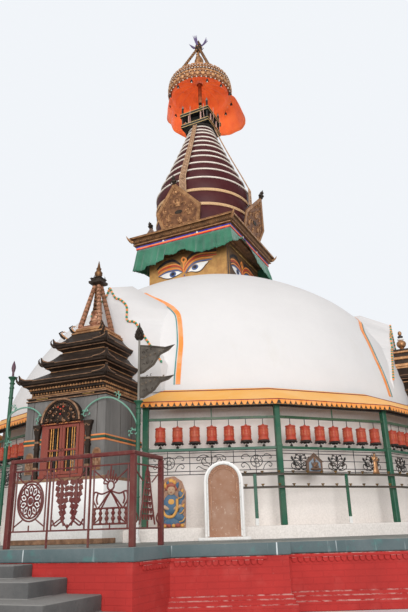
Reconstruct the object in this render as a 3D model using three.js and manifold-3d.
// Stupa with four shrines, a prayer-wheel gallery and a ringed spire. Millimetres, +Z up, the
// centre line of the dome on the Z axis, the ground at z = 0. The shrine with doors faces -Y.
import * as THREE from 'three';
import { mergeVertices } from 'three/addons/utils/BufferGeometryUtils.js';
import Module from 'manifold-3d';

const wasm = await Module();
wasm.setup();

// Heights
const COPING_LOW = 570;
const TERRACE = 700;
const LEDGE = 885;
const DRUM_TOP = 2600;
const DOME_TOP = 6650;
const LEAN = 200;
const LEAN_TO = [0.92, 0.392];
const HARMIKA_TOP = 7860;
const HARMIKA_TURN = -3;
const CORNICE_TOP = 8320;
const SPIRE_TOP = 12250;
const CROWN_RIM = 13690;
const CROWN_TOP = 14360;
const TIP = 16010;
const SEAT = 0.3;

// Terrace plan
const PLAN_APOTHEM = 7770;
const FLANK_APOTHEM = 8020;
const FLANK_REACH = 760;
const BLOCK_FRONT = 8400;
const BLOCK_HALF = 2600;
const COPING_LIP = 25;

// Gallery
const POST_APOTHEM = 5323;
const POST_SIZE = 90;
const POST_TOP = 2808;
const RAIL_LOW = 2042;
const RAIL_HIGH = 2528;
const RAIL_SIZE = 40;
const EAVE_RADIUS = 5600;
const EAVE_LOW = 2700;
const ROOF_INNER = 4975;
const ROOF_TOP = 3090;
const DRUM_RADIUS = 4950;
const LEDGE_APOTHEM = 5520;
const WHEEL_STEP = 275;
const WHEEL_RADIUS = 80;
const WHEEL_HEIGHT = 250;
const WHEEL_LOW = 2128;

// Front shrine
const BLOCK_Y = 4850;
const SMALL_BLOCK_Y = 4650;
const SHRINE_FRONT = 6050;
const SHRINE_HALF = 750;
const SHRINE_FLOOR = 1640;
const WALL_TOP = 2860;
const DOOR_HALF = 305;
const DOOR_LOW = 1690;
const DOOR_HIGH = 2440;

const rad = (d) => d * Math.PI / 180;

function at(azimuth, out, side, z) {
  const a = rad(azimuth);
  return [out * Math.sin(a) + side * Math.cos(a), -out * Math.cos(a) + side * Math.sin(a), z];
}

// Solids

function manifold(geometry) {
  const g = geometry.clone();
  for (const name of Object.keys(g.attributes)) if (name !== 'position') g.deleteAttribute(name);
  const m = mergeVertices(g, 1e-3);
  return new wasm.Manifold(new wasm.Mesh({
    numProp: 3,
    vertProperties: new Float32Array(m.attributes.position.array),
    triVerts: new Uint32Array(m.index.array),
  }));
}

function geometry(body) {
  const mesh = body.getMesh();
  const g = new THREE.BufferGeometry();
  g.setAttribute('position', new THREE.BufferAttribute(new Float32Array(mesh.vertProperties), 3));
  g.setIndex(new THREE.BufferAttribute(new Uint32Array(mesh.triVerts), 1));
  return g;
}

const join = (...parts) => parts.flat(Infinity).reduce((a, b) => a.add(b));
const turn = (body, azimuth) => body.rotate([0, 0, azimuth]);

function box(x0, x1, y0, y1, z0, z1) {
  const g = new THREE.BoxGeometry(x1 - x0, y1 - y0, z1 - z0);
  g.translate((x0 + x1) / 2, (y0 + y1) / 2, (z0 + z1) / 2);
  return manifold(g);
}

// Closed solid through sections of equal point count; each section is a convex ring
function loft(sections) {
  const n = sections[0].length;
  const position = [];
  const index = [];
  for (const s of sections) {
    for (const p of s) position.push(...p);
    const c = [0, 1, 2].map((k) => s.reduce((t, p) => t + p[k], 0) / n);
    position.push(...c);
  }
  const ring = (i) => i * (n + 1);
  for (let i = 0; i + 1 < sections.length; i++) {
    for (let j = 0; j < n; j++) {
      const [a, b] = [ring(i) + j, ring(i) + (j + 1) % n];
      const [c, d] = [ring(i + 1) + j, ring(i + 1) + (j + 1) % n];
      index.push(a, b, d, a, d, c);
    }
  }
  const last = ring(sections.length - 1);
  for (let j = 0; j < n; j++) {
    index.push(n, (j + 1) % n, j);
    index.push(last + n, last + j, last + (j + 1) % n);
  }
  const g = new THREE.BufferGeometry();
  g.setAttribute('position', new THREE.BufferAttribute(new Float32Array(position), 3));
  g.setIndex(index);
  const used = new THREE.BufferGeometry();
  used.setAttribute('position', g.toNonIndexed().attributes.position);
  return manifold(used);
}

// Closed solid through sections that may be concave, capped by triangulation seen in view(point)
function skin(sections, view) {
  const n = sections[0].length;
  const [position, index] = [sections.flat(2), []];
  for (let i = 0; i + 1 < sections.length; i++) {
    for (let j = 0; j < n; j++) {
      const [a, b, c, d] = [i * n + j, i * n + (j + 1) % n, (i + 1) * n + j, (i + 1) * n + (j + 1) % n];
      index.push(a, b, d, a, d, c);
    }
  }
  for (const [i, same] of [[0, false], [sections.length - 1, true]]) {
    const flat = sections[i].map((p) => new THREE.Vector2(...view(p)));
    const forward = THREE.ShapeUtils.area(flat) > 0;
    for (const t of THREE.ShapeUtils.triangulateShape(flat, [])) {
      const agrees = (THREE.ShapeUtils.area(t.map((k) => flat[k])) > 0) === forward;
      index.push(...(agrees === same ? t : [...t].reverse()).map((k) => i * n + k));
    }
  }
  const g = new THREE.BufferGeometry();
  g.setAttribute('position', new THREE.BufferAttribute(new Float32Array(position), 3));
  g.setIndex(index);
  return manifold(g.toNonIndexed());
}

// Ring of points seen from above, counter-clockwise
const rect = (x0, x1, y0, y1, z) => [[x0, y0, z], [x1, y0, z], [x1, y1, z], [x0, y1, z]];
const square = (h, z) => rect(-h, h, -h, h, z);

function ngon(n, apothem, z, first) {
  const r = apothem / Math.cos(Math.PI / n);
  return Array.from({ length: n }, (_, i) => {
    const a = rad(first) + (i + 0.5) * 2 * Math.PI / n;
    return [r * Math.sin(a), -r * Math.cos(a), z];
  });
}

const stack = (rings) => loft(rings);
const prismUp = (ring, height) => loft([ring, ring.map(([x, y, z]) => [x, y, z + height])]);

// Surface of revolution; the profile starts and ends on the axis
function lathe(profile, segments) {
  const g = new THREE.LatheGeometry(profile.map(([r, z]) => new THREE.Vector2(r, z)), segments);
  g.rotateX(Math.PI / 2);
  return manifold(g);
}

// Flat outline in x and z, pushed along y from y0 to y1
function slab(points, y0, y1) {
  const shape = new THREE.Shape(points.map(([x, z]) => new THREE.Vector2(x, z)));
  const g = new THREE.ExtrudeGeometry(shape, { depth: y1 - y0, bevelEnabled: false });
  g.rotateX(Math.PI / 2);
  g.translate(0, y1, 0);
  return manifold(g);
}

// Square bar between two points
function bar(a, b, wide, high = wide) {
  const [p, q] = [new THREE.Vector3(...a), new THREE.Vector3(...b)];
  const g = new THREE.BoxGeometry(wide, p.distanceTo(q), high);
  const along = q.clone().sub(p).normalize();
  const up = Math.abs(along.z) > 0.99 ? new THREE.Vector3(0, 1, 0) : new THREE.Vector3(0, 0, 1);
  const side = along.clone().cross(up).normalize();
  const top = side.clone().cross(along).normalize();
  const m = new THREE.Matrix4().makeBasis(side, along, top);
  m.setPosition(p.add(q).multiplyScalar(0.5));
  g.applyMatrix4(m);
  return manifold(g);
}

// Round rod between two points
function rod(a, b, radius, sides = 8) {
  const [p, q] = [new THREE.Vector3(...a), new THREE.Vector3(...b)];
  const g = new THREE.CylinderGeometry(radius, radius, p.distanceTo(q), sides);
  const along = q.clone().sub(p).normalize();
  g.applyQuaternion(new THREE.Quaternion().setFromUnitVectors(new THREE.Vector3(0, 1, 0), along));
  g.translate(...p.add(q).multiplyScalar(0.5).toArray());
  return manifold(g);
}

// Round tube through points
function pipe(points, radius, steps = 16) {
  const curve = new THREE.CatmullRomCurve3(points.map((p) => new THREE.Vector3(...p)));
  const round = new THREE.Shape();
  round.absarc(0, 0, radius, 0, Math.PI * 2);
  return manifold(new THREE.ExtrudeGeometry(round, { steps, curveSegments: 3, extrudePath: curve }));
}

// Terrace

function terracePlan(z0, z1, grow, base) {
  const g = base ? 0 : grow;
  const limit = BLOCK_FRONT + g;
  const octagon = prismUp(ngon(8, PLAN_APOTHEM + grow, z0, 22.5), z1 - z0);
  const parts = [octagon.intersect(box(-limit, limit, -limit, limit, z0 - 1, z1 + 1))];
  for (let side = 0; side < 4; side++) {
    const a = side * 90;
    for (const [azimuth, from, to] of [[a + 22.5, -900, FLANK_REACH], [a - 22.5, -FLANK_REACH, 900]]) {
      parts.push(turn(box(from - grow, to + grow, -FLANK_APOTHEM - grow, -6000, z0, z1), azimuth));
    }
    parts.push(turn(box(-BLOCK_HALF - g, BLOCK_HALF + g, -BLOCK_FRONT - g, -5000, z0, z1), a));
  }
  return join(parts);
}

function plinthWall() {
  return join(
    terracePlan(0, COPING_LOW - SEAT, 0, false),
    terracePlan(0, 100, 60, true),
    terracePlan(100, 150, 38, true),
    terracePlan(150, 190, 18, true),
  );
}

const terraceCoping = () => terracePlan(COPING_LOW, TERRACE, COPING_LIP, false);

function frontSteps() {
  const treads = [[150, 2560, 9600], [295, 2280, 9300], [440, 1880, 9000], [563, 1450, 8700]];
  return join(treads.map(([z, half, front]) => box(-half, half, -front, -BLOCK_FRONT - SEAT, 0, z)));
}

// Drum, dome and the white blocks behind the shrines

function drumLedge() {
  return join(
    prismUp(ngon(16, LEDGE_APOTHEM, TERRACE + SEAT, 0), LEDGE - TERRACE - SEAT),
    lathe([[0, LEDGE - 50], [DRUM_RADIUS, LEDGE - 50], [DRUM_RADIUS, DRUM_TOP - SEAT],
      [0, DRUM_TOP - SEAT]], 48),
  );
}

const DOME_PROFILE = [
  [4950, 2600], [4930, 3000], [4850, 3500], [4690, 4000], [4410, 4600], [4040, 5150],
  [3610, 5600], [3240, 5900], [2800, 6190], [2330, 6450], [1880, 6650],
];

function domeProfile() {
  const curve = new THREE.CatmullRomCurve3(DOME_PROFILE.map(([r, z]) => new THREE.Vector3(r, z, 0)));
  return curve.getPoints(10).map((p) => [p.x, p.y]);
}

const BLOCK_BACK = [
  [0, 5600], [266, 5397], [731, 5081], [973, 4872], [1128, 4638], [1269, 4108], [1308, 3681], [1320, 3190],
];
const BLOCK_FACE = [
  [0, 5260], [130, 5030], [240, 4970], [390, 4800], [400, 4520], [570, 4460], [750, 4180], [1110, 3640],
];

function whiteBlock(widen, face) {
  const half = (list, y, k) => list.map(([x, z]) => [x * k, y, z]);
  const outline = (list, y, low, k) => {
    const right = half(list, y, k);
    const foot = list[list.length - 1];
    const rightLow = [foot[0] * k, y, low];
    const left = right.slice(1).map(([x, , z]) => [-x, y, z]).reverse();
    return [rightLow, ...right.slice(1).reverse(), right[0], ...left.reverse(), [-rightLow[0], y, low]];
  };
  const front = outline(BLOCK_FACE, -face, ROOF_TOP + 5, widen);
  const back = outline(BLOCK_BACK, -3700, ROOF_TOP + 5, widen);
  return skin([back, front], ([x, , z]) => [x, z]);
}

// The old dome leans a little to one side as it rises
function leanAt(z) {
  const t = Math.min(1, Math.max(0, (z - 3200) / 2600));
  return LEAN * t * t * (3 - 2 * t);
}

function roundDome(grow) {
  const profile = [[0, DRUM_TOP - grow], ...domeProfile().map(([r, z]) => [r + grow, z]), [0, DOME_TOP]];
  return lathe(profile, 44).warp((v) => {
    const shift = leanAt(v[2]);
    v[0] += shift * LEAN_TO[0];
    v[1] += shift * LEAN_TO[1];
  });
}

function dome() {
  const small = [90, 180, 270].map((a) => turn(whiteBlock(1.3, SMALL_BLOCK_Y), a));
  return join(roundDome(0), whiteBlock(1, BLOCK_Y), small);
}

// Harmika, cornice and toranas

function harmika() {
  return join(
    stack([square(1132, DOME_TOP + SEAT), square(1132, HARMIKA_TOP)]),
    stack([square(1170, HARMIKA_TOP - 1), square(1330, HARMIKA_TOP + 60),
      square(1330, HARMIKA_TOP + 110)]),
  );
}

const CORNICE_LOW = HARMIKA_TOP + 110 + SEAT;

function corniceBody() {
  const low = CORNICE_LOW;
  return stack([
    square(1392, low), square(1392, low + 90), square(1450, low + 120), square(1470, low + 190),
    square(1525, low + 270), square(1533, low + 345), square(1000, CORNICE_TOP + 60),
  ]);
}

function harmikaCornice() {
  const low = CORNICE_LOW;
  const tips = [0, 90, 180, 270].map((a) => turn(loft([
    [[1420, -1510, low + 200], [1510, -1510, low + 200], [1510, -1420, low + 200]],
    [[1465, -1533, low + 320], [1533, -1533, low + 320], [1533, -1465, low + 320]],
    [[1575, -1600, low + 400], [1600, -1600, low + 400], [1600, -1575, low + 400]],
  ]), a));
  return join(corniceBody(), tips);
}

function torana(azimuth) {
  const outline = [[-545, 0], [545, 0], [665, 495], [0, 1215], [-665, 495]];
  const finial = lathe([[0, 1155], [60, 1195], [80, 1255], [32, 1295], [52, 1355], [0, 1445]], 8);
  const plate = join(slab(outline, -40, 0), finial.translate([0, -20, 0]));
  const leaning = plate.rotate([17, 0, 0]).translate([0, -1400, CORNICE_TOP - 20]);
  return turn(leaning.subtract(corniceBody().translate([0, 0, SEAT])), azimuth);
}

// Spire and parasol

const RIM_TOPS = [9000, 9440, 9810, 10160, 10470, 10790, 11030, 11300, 11520, 11720, 11930, 12080,
  SPIRE_TOP];

const spireRadius = (z) => Math.min(1370, 1245 - 0.445 * (z - 10160) + 1.95e-5 * (z - 10160) ** 2);

function spireCone() {
  let low = CORNICE_TOP + 60 + SEAT;
  const profile = [[0, low]];
  for (const top of RIM_TOPS) {
    const r = spireRadius(top);
    const rim = 0.26 * (top - low);
    profile.push([r - 55, low], [r, top - rim], [r, top - 1]);
    low = top;
  }
  profile.push([0, SPIRE_TOP]);
  return lathe(profile, 18);
}

function spireStraps() {
  const [low, high] = [9300, SPIRE_TOP + 40];
  const straps = [0, 90, 180, 270].map((a) => {
    const path = [0, 0.18, 0.36, 0.57, 0.78, 1].map((t) => {
      const z = low + t * (high - low);
      const r = spireRadius(z) + 45;
      const wide = 105 - 45 * t;
      return [[-wide, -r - 26, z], [wide, -r - 26, z], [wide, -r, z], [-wide, -r, z]];
    });
    return turn(loft(path), a);
  });
  return join(prismUp(ngon(24, 480, SPIRE_TOP + SEAT, 0), 40), straps);
}

function parasolFrame() {
  const z0 = SPIRE_TOP + 40 + 2 * SEAT;
  const tier = (z, h) => stack([square(h, z), square(h, z + 60)])
    .subtract(stack([square(h - 60, z - 1), square(h - 60, z + 61)]));
  const posts = [];
  for (const x of [-410, 410]) {
    for (const y of [-410, 410]) posts.push(box(x - 30, x + 30, y - 30, y + 30, z0, 13050));
  }
  return join(tier(z0 + 20, 460), tier(12720, 480), posts, box(-440, 440, -440, 440, z0, z0 + 40),
    lathe([[0, z0], [300, z0], [70, 12560], [50, 12800], [50, 13400], [0, 13400]], 8));
}

// Cloth that hangs from the crown, open at the front and drawn out on the right
function parasolSkirt() {
  const top = CROWN_RIM - 60 - SEAT;
  const sections = [];
  for (let a = 104; a <= 302; a += 11) {
    const out = 1080 + 270 * Math.max(0, 1 - Math.abs(a - 115) / 55);
    const low = 12830 + 60 * Math.cos(rad(a * 4));
    const p = (radius, z) => at(a, radius, 0, z);
    sections.push([p(850, 13960), p(875, 13960), p(903, top), p(985, top),
      p((1000 + out) / 2 + 30, 13250), p(out, low), p(out - 55, low), p((930 + out) / 2, 13250),
      p(930, top - 60), p(866, top - 20)]);
  }
  return skin(sections, ([x, y, z]) => [Math.hypot(x, y), z]);
}

function parasolCrown() {
  const z = 13400 + SEAT;
  return lathe([[0, z], [60, z], [60, 14240], [300, 14235], [560, 14200], [740, 14140], [850, 14050],
    [910, 13930], [925, CROWN_RIM], [925, CROWN_RIM - 60], [970, CROWN_RIM - 60], [1000, CROWN_RIM],
    [998, 13850], [985, 14000], [945, 14120], [870, 14210], [740, 14275], [540, 14320], [300, 14345],
    [0, CROWN_TOP]], 28);
}

function pinnacle() {
  const z = CROWN_TOP + SEAT;
  const stem = lathe([[0, z], [200, z], [220, z + 80], [110, z + 160], [130, z + 400], [150, z + 760],
    [90, z + 900], [30, z + 1020], [30, z + 1160], [85, z + 1210], [120, z + 1290], [115, z + 1380],
    [60, z + 1400], [95, z + 1440], [50, z + 1540], [0, TIP]], 10);
  const arms = [0, 90].map((a) => turn(bar([-190, 0, 15740], [190, 0, 15740], 40), a));
  const tips = [0, 90, 180, 270].map((a) => turn(loft([
    [[165, -20, 15720], [205, -20, 15720], [205, 20, 15720], [165, 20, 15720]],
    [[300, -8, 15950], [316, -8, 15950], [316, 8, 15950], [300, 8, 15950]],
  ]), a));
  const struts = [45, 135, 225, 315].map((a) => turn(bar([0, -800, 14200], [0, -30, 15640], 80), a));
  return join(stem, arms, tips, struts).subtract(parasolCrown().translate([0, 0, SEAT]));
}

// Gallery of one quadrant; azimuth 0 keeps its bays at 22.5, 45 and 67.5 degrees

const FACET_HALF = POST_APOTHEM * Math.tan(Math.PI / 16);
const BAYS = [22.5, 45, 67.5];
const CORNERS = [11.25, 33.75, 56.25, 78.75];

function galleryFrame(postTop) {
  const parts = [];
  const r = POST_APOTHEM / Math.cos(Math.PI / 16);
  for (const c of CORNERS) {
    const h = POST_SIZE / 2;
    parts.push(turn(box(-h, h, -r - h, -r + h, LEDGE + SEAT, postTop), c));
  }
  for (const b of BAYS) {
    const line = (z, size, out = POST_APOTHEM) =>
      bar(at(b, out, -FACET_HALF, z), at(b, out, FACET_HALF, z), size);
    parts.push(line(RAIL_LOW, RAIL_SIZE), line(RAIL_HIGH, RAIL_SIZE), line(EAVE_LOW + 30, 60));
    parts.push(bar(at(b, POST_APOTHEM, 0, RAIL_HIGH), at(b, POST_APOTHEM, 0, EAVE_LOW + 30), 22));
  }
  return join(parts);
}

function galleryRoof() {
  const thick = 30;
  const section = (outAz, inAz, inR) => [
    at(outAz, EAVE_RADIUS, 0, EAVE_LOW), at(outAz, EAVE_RADIUS, 0, EAVE_LOW + 100),
    at(inAz, inR, 0, ROOF_TOP), at(inAz, inR, 0, ROOF_TOP - thick),
    at(outAz, EAVE_RADIUS - 30, 0, EAVE_LOW + 65),
    at(outAz, EAVE_RADIUS - 30, 0, EAVE_LOW),
  ];
  const rows = [[10.2, 13.6], [33.75, 33.75], [56.25, 56.25], [79.8, 76.4]]
    .map(([o, i]) => section(o, i, ROOF_INNER / Math.cos(Math.PI / 16)).reverse());
  return skin(rows, ([x, y, z]) => [Math.hypot(x, y), z]);
}

function wheelShape(gap) {
  const [z, h, r] = [WHEEL_LOW, WHEEL_HEIGHT, WHEEL_RADIUS];
  const low = RAIL_LOW + RAIL_SIZE / 2 + gap;
  const high = RAIL_HIGH - RAIL_SIZE / 2 - gap;
  return lathe([[0, low], [12, low], [12, z], [r + 13, z], [r - 5, z + h * 0.45], [r + 4, z + h - 16],
    [r - 14, z + h], [12, z + h + 5], [12, high], [0, high]], 8);
}

function prayerWheel(bay, i) {
  const [x, y] = at(bay, POST_APOTHEM, (i - 3) * WHEEL_STEP, 0);
  return wheelShape(0.6).translate([x, y, 0]);
}

function fixedWheels(bay) {
  const z = WHEEL_LOW;
  const drum = lathe([[0, z], [WHEEL_RADIUS + 8, z], [WHEEL_RADIUS, z + WHEEL_HEIGHT],
    [0, z + WHEEL_HEIGHT]], 6);
  const wheel = join(drum, box(-10, 10, -10, 10, RAIL_LOW, RAIL_HIGH));
  return [0, 1, 2, 3, 4, 5, 6].map((i) => {
    const [x, y] = at(bay, POST_APOTHEM, (i - 3) * WHEEL_STEP, 0);
    return wheel.translate([x, y, 0]);
  });
}

// Shrines

const DOOR_Y = SHRINE_FRONT + 20;
const WALL_GAP = DOOR_HALF + 46;
const LINTEL_TOP = DOOR_HIGH + 38;

function shrineBase() {
  return join(
    box(-800, 800, -SHRINE_FRONT - 60, -LEDGE_APOTHEM - SEAT, TERRACE + SEAT, SHRINE_FLOOR - SEAT),
    box(-800, 800, -LEDGE_APOTHEM - 10, -DRUM_RADIUS - SEAT - 5, LEDGE + SEAT, SHRINE_FLOOR - SEAT),
  );
}

function shrineWalls() {
  const t = 130;
  const side = (s) => {
    const [a, b] = s < 0 ? [-SHRINE_HALF, -SHRINE_HALF + t] : [SHRINE_HALF - t, SHRINE_HALF];
    const [c, d] = s < 0 ? [-SHRINE_HALF, -WALL_GAP] : [WALL_GAP, SHRINE_HALF];
    return join(box(a, b, -SHRINE_FRONT, -DRUM_RADIUS - 6, SHRINE_FLOOR, WALL_TOP),
      box(c, d, -SHRINE_FRONT, -SHRINE_FRONT + t, SHRINE_FLOOR, WALL_TOP));
  };
  const [half, low] = [WALL_GAP - SEAT, LINTEL_TOP + SEAT];
  const arc = [];
  for (let i = 0; i <= 12; i++) arc.push([370 * Math.cos(rad(15 * i)), low + 370 * Math.sin(rad(15 * i))]);
  const over = join(
    box(-half, half, -SHRINE_FRONT, -SHRINE_FRONT + t, low, WALL_TOP),
    slab(arc, -SHRINE_FRONT - 130, -SHRINE_FRONT - SEAT),
    box(-half + 30, half - 30, -SHRINE_FRONT - 100, -SHRINE_FRONT + 5, low + 10, 2700),
  );
  return [side(-1), side(1), over];
}

function doorFrame() {
  const [half, jamb] = [WALL_GAP - SEAT, DOOR_HALF + 6];
  const [front, back] = [-SHRINE_FRONT - 30, -SHRINE_FRONT + 100];
  const [sill, lintel] = [DOOR_LOW - 8, DOOR_HIGH + 8];
  return join(
    box(-half, -jamb, front, back, SHRINE_FLOOR, LINTEL_TOP),
    box(jamb, half, front, back, SHRINE_FLOOR, LINTEL_TOP),
    box(-half, half, front - 30, back, SHRINE_FLOOR, sill),
    box(-half, half, front - 30, back, lintel, LINTEL_TOP),
  );
}

function roofTiers(blockY) {
  const back = -blockY - 1;
  const tier = (half, front, z, top, halfTop, frontTop) => {
    return [
      stack([rect(-half + 130, half - 130, -front + 130, back, z - 190),
        rect(-half + 110, half - 110, -front + 110, back, z - 120),
        rect(-half + 20, half - 20, -front + 20, back, z - 60), rect(-half, half, -front, back, z - 20),
        rect(-halfTop, halfTop, -frontTop, back, top)]),
      ...[-1, 1].map((s) => loft([
        s > 0 ? [[half - 90, -front, z - 60], [half, -front, z - 60], [half, -front + 90, z - 60]]
          : [[-half, -front, z - 60], [-half + 90, -front, z - 60], [-half, -front + 90, z - 60]],
        s > 0
          ? [[half + 20, -front - 40, z + 50], [half + 40, -front - 40, z + 50],
            [half + 40, -front - 20, z + 50]]
          : [[-half - 40, -front - 40, z + 50], [-half - 20, -front - 40, z + 50],
            [-half - 40, -front - 20, z + 50]],
      ])),
    ];
  };
  return join(
    stack([rect(-760, 760, -6080, back, WALL_TOP + SEAT), rect(-760, 760, -6080, back, 2940),
      rect(-700, 700, -6020, back, 2960), rect(-700, 700, -6020, back, 3040)]),
    tier(830, 6200, 3200, 3400, 520, 5820), tier(640, 5910, 3555, 3750, 430, 5700),
    tier(530, 5765, 3915, 4120, 300, 5570),
    box(-310, 310, -5580, back, 4110, 4170), box(-260, 260, -5530, back, 4160, 4230),
  );
}

function shrineFinial() {
  const z = 4230 + SEAT;
  const cy = -5270;
  const corner = [[-200, -200], [200, -200], [200, 200], [-200, 200]];
  const core = lathe([[0, z], [150, z], [150, z + 60], [95, z + 80], [130, z + 170], [100, z + 270],
    [60, z + 300], [100, z + 340], [100, z + 400], [55, z + 420], [50, z + 900], [100, z + 960],
    [110, z + 1010], [55, z + 1060],
    [75, z + 1150], [40, z + 1220], [0, z + 1400]], 8).translate([0, cy, 0]);
  const legs = corner.map(([x, y]) => bar([x, cy + y, z + 20], [x * 0.15, cy + y * 0.15, z + 950], 60));
  const foot = stack([rect(-245, 245, cy - 245, cy + 245, z), rect(-245, 245, cy - 245, cy + 245, z + 45)]);
  return join(foot, core, legs);
}

// Stepped plates under a gourd, on the three smaller shrines
function gourdFinial(back) {
  const cy = -SMALL_BLOCK_Y - 190;
  const plate = (half, front, z0, z1) => box(-half, half, -front, back, z0, z1);
  const gourd = lathe([[0, 4590], [60, 4590], [70, 4620], [40, 4650], [95, 4700], [108, 4760],
    [80, 4815], [40, 4830], [70, 4850], [70, 4875], [38, 4890], [60, 4915], [60, 4935], [22, 4960],
    [42, 5000], [40, 5040], [0, 5070]], 10);
  return join(gourd.translate([0, cy, 0]), plate(250, 5230, 4229, 4330), plate(290, 5290, 4320, 4390),
    plate(210, 5160, 4380, 4490), plate(250, 5200, 4480, 4530), plate(150, 5020, 4520, 4600));
}

function plainShrine(azimuth) {
  const [left, right] = shrineWalls();
  const back = -SMALL_BLOCK_Y - 1;
  const front = box(-WALL_GAP - 5, WALL_GAP + 5, -SHRINE_FRONT + 20, -SHRINE_FRONT + 130,
    SHRINE_FLOOR, WALL_TOP);
  const roof = roofTiers(SMALL_BLOCK_Y).translate([0, 0, -0.5]);
  const whole = join(
    box(-800, 800, -SHRINE_FRONT - 60, -LEDGE_APOTHEM - SEAT, TERRACE + SEAT, SHRINE_FLOOR + 2),
    box(-800, 800, -LEDGE_APOTHEM - 10, -DRUM_RADIUS - SEAT - 5, LEDGE + SEAT, SHRINE_FLOOR + 2),
    left, right, front, roof, gourdFinial(back),
  );
  return turn(whole, azimuth).subtract(roundDome(0.5));
}

// Doors of the front shrine

const HINGE_X = DOOR_HALF - 7;

function doorLeaf(s) {
  const [y0, y1] = [-DOOR_Y - 18, -DOOR_Y + 18];
  const [inner, outer] = [3, DOOR_HALF];
  const x = (a, b) => (s > 0 ? [a, b] : [-b, -a]);
  const part = (a, b, z0, z1, d = 0) => box(...x(a, b), y0 + d, y1 - d, z0, z1);
  const bars = [0, 1, 2, 3].map((i) => {
    const c = inner + 45 + (i + 0.5) * (outer - inner - 90) / 4;
    return part(c - 8, c + 8, DOOR_LOW + 30, DOOR_HIGH - 30, 8);
  });
  return join(part(inner, inner + 45, DOOR_LOW, DOOR_HIGH), part(outer - 45, outer, DOOR_LOW, DOOR_HIGH),
    part(inner + 40, outer - 40, DOOR_LOW, DOOR_LOW + 45),
    part(inner + 40, outer - 40, DOOR_HIGH - 45, DOOR_HIGH),
    part(inner + 40, outer - 40, 2040, 2070, 6), bars,
    rod([s * HINGE_X, y0 + 4, DOOR_LOW - 7.4], [s * HINGE_X, y0 + 4, DOOR_LOW + 5], 6),
    rod([s * HINGE_X, y0 + 4, DOOR_HIGH - 5], [s * HINGE_X, y0 + 4, DOOR_HIGH + 7.4], 6));
}

// Railings, arches, standards

function railing(s) {
  const X = (x) => s * x;
  const [top, foot, front, back] = [1620, TERRACE + SEAT, -8323, -7713];
  const post = (x, y, h = 30) => box(Math.min(X(x - h), X(x + h)), Math.max(X(x - h), X(x + h)),
    y - h, y + h, foot, top - 10);
  const run = (z, size) => [bar([X(1020), front, z], [X(2548), front, z], size),
    bar([X(2548), front, z], [X(2548), back, z], size)];
  return join(post(2548, front), post(1020, front), post(2548, back, 28),
    post(1530, front, 9), post(2040, front, 9),
    run(top - 22, 44), run(1490, 14), run(870, 14));
}

const ARCH_X = 1240;
const ARCH_Y = -5900;

function archPost(s, top, tip) {
  const foot = TERRACE + SEAT;
  const spear = tip ? [[20, top + 20], [16, tip - 200], [38, tip - 120]] : [];
  const post = lathe([[0, foot], [60, foot], [60, foot + 60], [32, foot + 90], [32, top - 130],
    [48, top - 110], [32, top - 90], [36, top - 60], [75, top - 10], [75, top], ...spear,
    [0, tip || top]], 10);
  const arc = [];
  for (let i = 0; i <= 8; i++) {
    const a = rad(4 + i * 17.25);
    arc.push([s * (765 + 455 * Math.cos(a)), ARCH_Y - 210 * Math.min(1, i / 3), 2330 + 455 * Math.sin(a)]);
  }
  return join(post.translate([s * ARCH_X, ARCH_Y, 0]), pipe(arc, 11, 12));
}

function banner() {
  const flag = (low, pts) => slab([[ARCH_X - 5, low], ...pts], ARCH_Y - 9, ARCH_Y + 9);
  const pole = rod([ARCH_X, ARCH_Y, 2720 + SEAT], [ARCH_X, ARCH_Y, 3790], 20, 8);
  const figure = lathe([[0, 3700], [60, 3710], [75, 3760], [45, 3810], [60, 3880], [25, 3940],
    [0, 3990]], 8);
  return join(pole, figure.translate([ARCH_X, ARCH_Y, 0]),
    flag(3125, [[1330, 3150], [1510, 3250], [1620, 3400], [1760, 3450], [1870, 3540], [1700, 3520],
      [1450, 3580], [ARCH_X - 5, 3620]]),
    flag(2760, [[1330, 2750], [1520, 2850], [1620, 2960], [1760, 2990], [1860, 3060], [1700, 3050],
      [1450, 3080], [ARCH_X - 5, 3100]]));
}

function stele() {
  const b = 22.5;
  const arch = (half, low, high) => {
    const pts = [[145 - half, low], [145 + half, low]];
    for (let i = 0; i <= 12; i++) {
      pts.push([145 + half * Math.cos(rad(15 * i)), high - half + half * Math.sin(rad(15 * i))]);
    }
    return pts;
  };
  return turn(join(
    box(-240, 500, -6060, -5640, TERRACE + SEAT, 745),
    slab(arch(290, 740, 1800), -5840, -5720),
    slab(arch(245, 740, 1760), -5900, -5830),
  ), b);
}

function guardianRelief() {
  const pts = [[-870, LEDGE + SEAT], [-430, LEDGE + SEAT], [-420, 1400], [-480, 1560], [-600, 1640],
    [-740, 1620], [-850, 1480]];
  return turn(join(slab(pts, -5480, -5400)), 22.5);
}

function lampRack() {
  const out = 5450;
  const parts = [];
  const end = out * Math.tan(Math.PI / 16);
  const spans = [[22.5, 560, end], [45, -end, end], [67.5, -end, 700]];
  for (const [b, s0, s1] of spans) {
    for (const z of [1430, 1620]) parts.push(bar(at(b, out, s0, z), at(b, out, s1, z), 30, 12));
  }
  for (const [b, s] of [[22.5, 800], [45, 60], [67.5, 60]]) {
    parts.push(turn(box(s - 18, s + 18, -out - 18, -out + 18, LEDGE + SEAT, 1620), b));
  }
  return join(parts);
}

function harmikaValance() {
  const z = 7430;
  const ring = (top, low, z0, z1) => stack([square(low, z0), square(top, z1)]);
  return ring(1385, 1485, z, CORNICE_LOW - SEAT).subtract(ring(1358, 1458, z - 1, CORNICE_LOW + 1));
}

// Assembly

const group = new THREE.Group();
group.name = 'stupa';

function add(name, body, color, metalness = 0, roughness = 0.8) {
  const g = geometry(body);
  const mesh = new THREE.Mesh(g, new THREE.MeshStandardMaterial({ color, metalness, roughness }));
  mesh.name = name;
  group.add(mesh);
}

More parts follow.
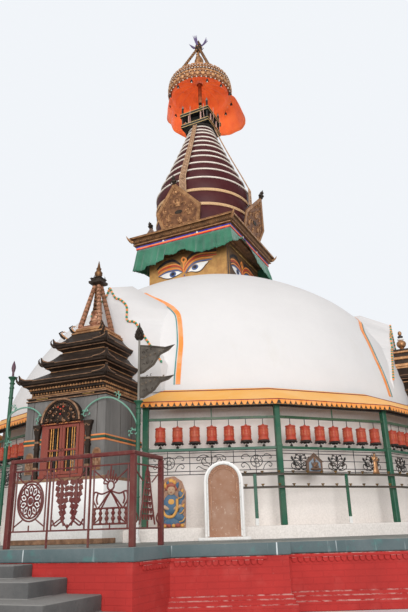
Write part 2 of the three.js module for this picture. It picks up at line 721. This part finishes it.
add('plinth_wall', plinthWall(), 0xaa322d);
add('terrace_coping', terraceCoping(), 0x5a7378);
add('front_steps', frontSteps(), 0x55585a);
add('drum_ledge', drumLedge(), 0xefe9e2);
add('dome', dome(), 0xf4f0ea);
add('harmika', turn(harmika(), HARMIKA_TURN), 0xcd9650);
add('harmika_cornice', turn(harmikaCornice(), HARMIKA_TURN), 0x96603a, 0.6, 0.5);
add('harmika_valance', turn(harmikaValance(), HARMIKA_TURN), 0x3c8264);
for (const [i, side] of ['front', 'right', 'back', 'left'].entries()) {
  add(`torana_${side}`, turn(torana(i * 90), HARMIKA_TURN), 0xa0683c, 0.7, 0.4);
}
add('spire_cone', spireCone(), 0x551923);
add('spire_straps', spireStraps(), 0xd7a06e, 0.7, 0.4);
add('parasol_frame', turn(parasolFrame(), HARMIKA_TURN), 0x2a2622);
add('parasol_skirt', parasolSkirt(), 0xfa6e28);
add('parasol_crown', parasolCrown(), 0x8a6546, 0.6, 0.5);
add('pinnacle', pinnacle(), 0x6e4c34, 0.6, 0.5);

add('gallery_frame', join(galleryFrame(POST_TOP), fixedWheels(67.5)), 0x235a41);
add('gallery_roof', galleryRoof(), 0xf0b464);
for (const [i, side] of ['right', 'back', 'left'].entries()) {
  const quarter = join(galleryFrame(POST_TOP + 20), galleryRoof(), BAYS.map(fixedWheels));
  add(`gallery_${side}`, turn(quarter, (i + 1) * 90), 0x235a41);
}
for (const [b, bay] of [22.5, 45].entries()) {
  for (let i = 0; i < 7; i++) add(`prayer_wheel_${b * 7 + i + 1}`, prayerWheel(bay, i), 0xc8503c);
}

const [wallLeft, wallRight, wallOver] = shrineWalls();
add('shrine_base', shrineBase(), 0xefe9e2);
add('shrine_wall_left', wallLeft, 0x6a6a6a);
add('shrine_wall_right', wallRight, 0x6a6a6a);
add('shrine_tympanum', wallOver, 0x6e4c34, 0.6, 0.5);
add('shrine_roof', roofTiers(BLOCK_Y).subtract(roundDome(0.5)), 0x4a3226, 0.6, 0.5);
add('shrine_finial', shrineFinial(), 0xb08050, 0.7, 0.4);
add('door_frame', doorFrame(), 0x8a4030);
add('door_left', doorLeaf(-1), 0x9a4a36);
add('door_right', doorLeaf(1), 0x9a4a36);
for (const [i, side] of ['right', 'back', 'left'].entries()) {
  add(`shrine_${side}`, plainShrine((i + 1) * 90), 0x6a6a6a);
}

add('railing_right', railing(1), 0x5f3737);
add('railing_left', railing(-1), 0x5f3737);
add('arch_right', archPost(1, 2720, 0), 0x235a41);
add('arch_left', archPost(-1, 3400, 3690), 0x235a41);
add('banner', banner(), 0x4c443e, 0.6, 0.6);
add('stele', stele(), 0xa57860);
add('guardian_relief', guardianRelief(), 0x4a7a9a);
add('lamp_rack', lampRack(), 0x3a332c);

export default group;
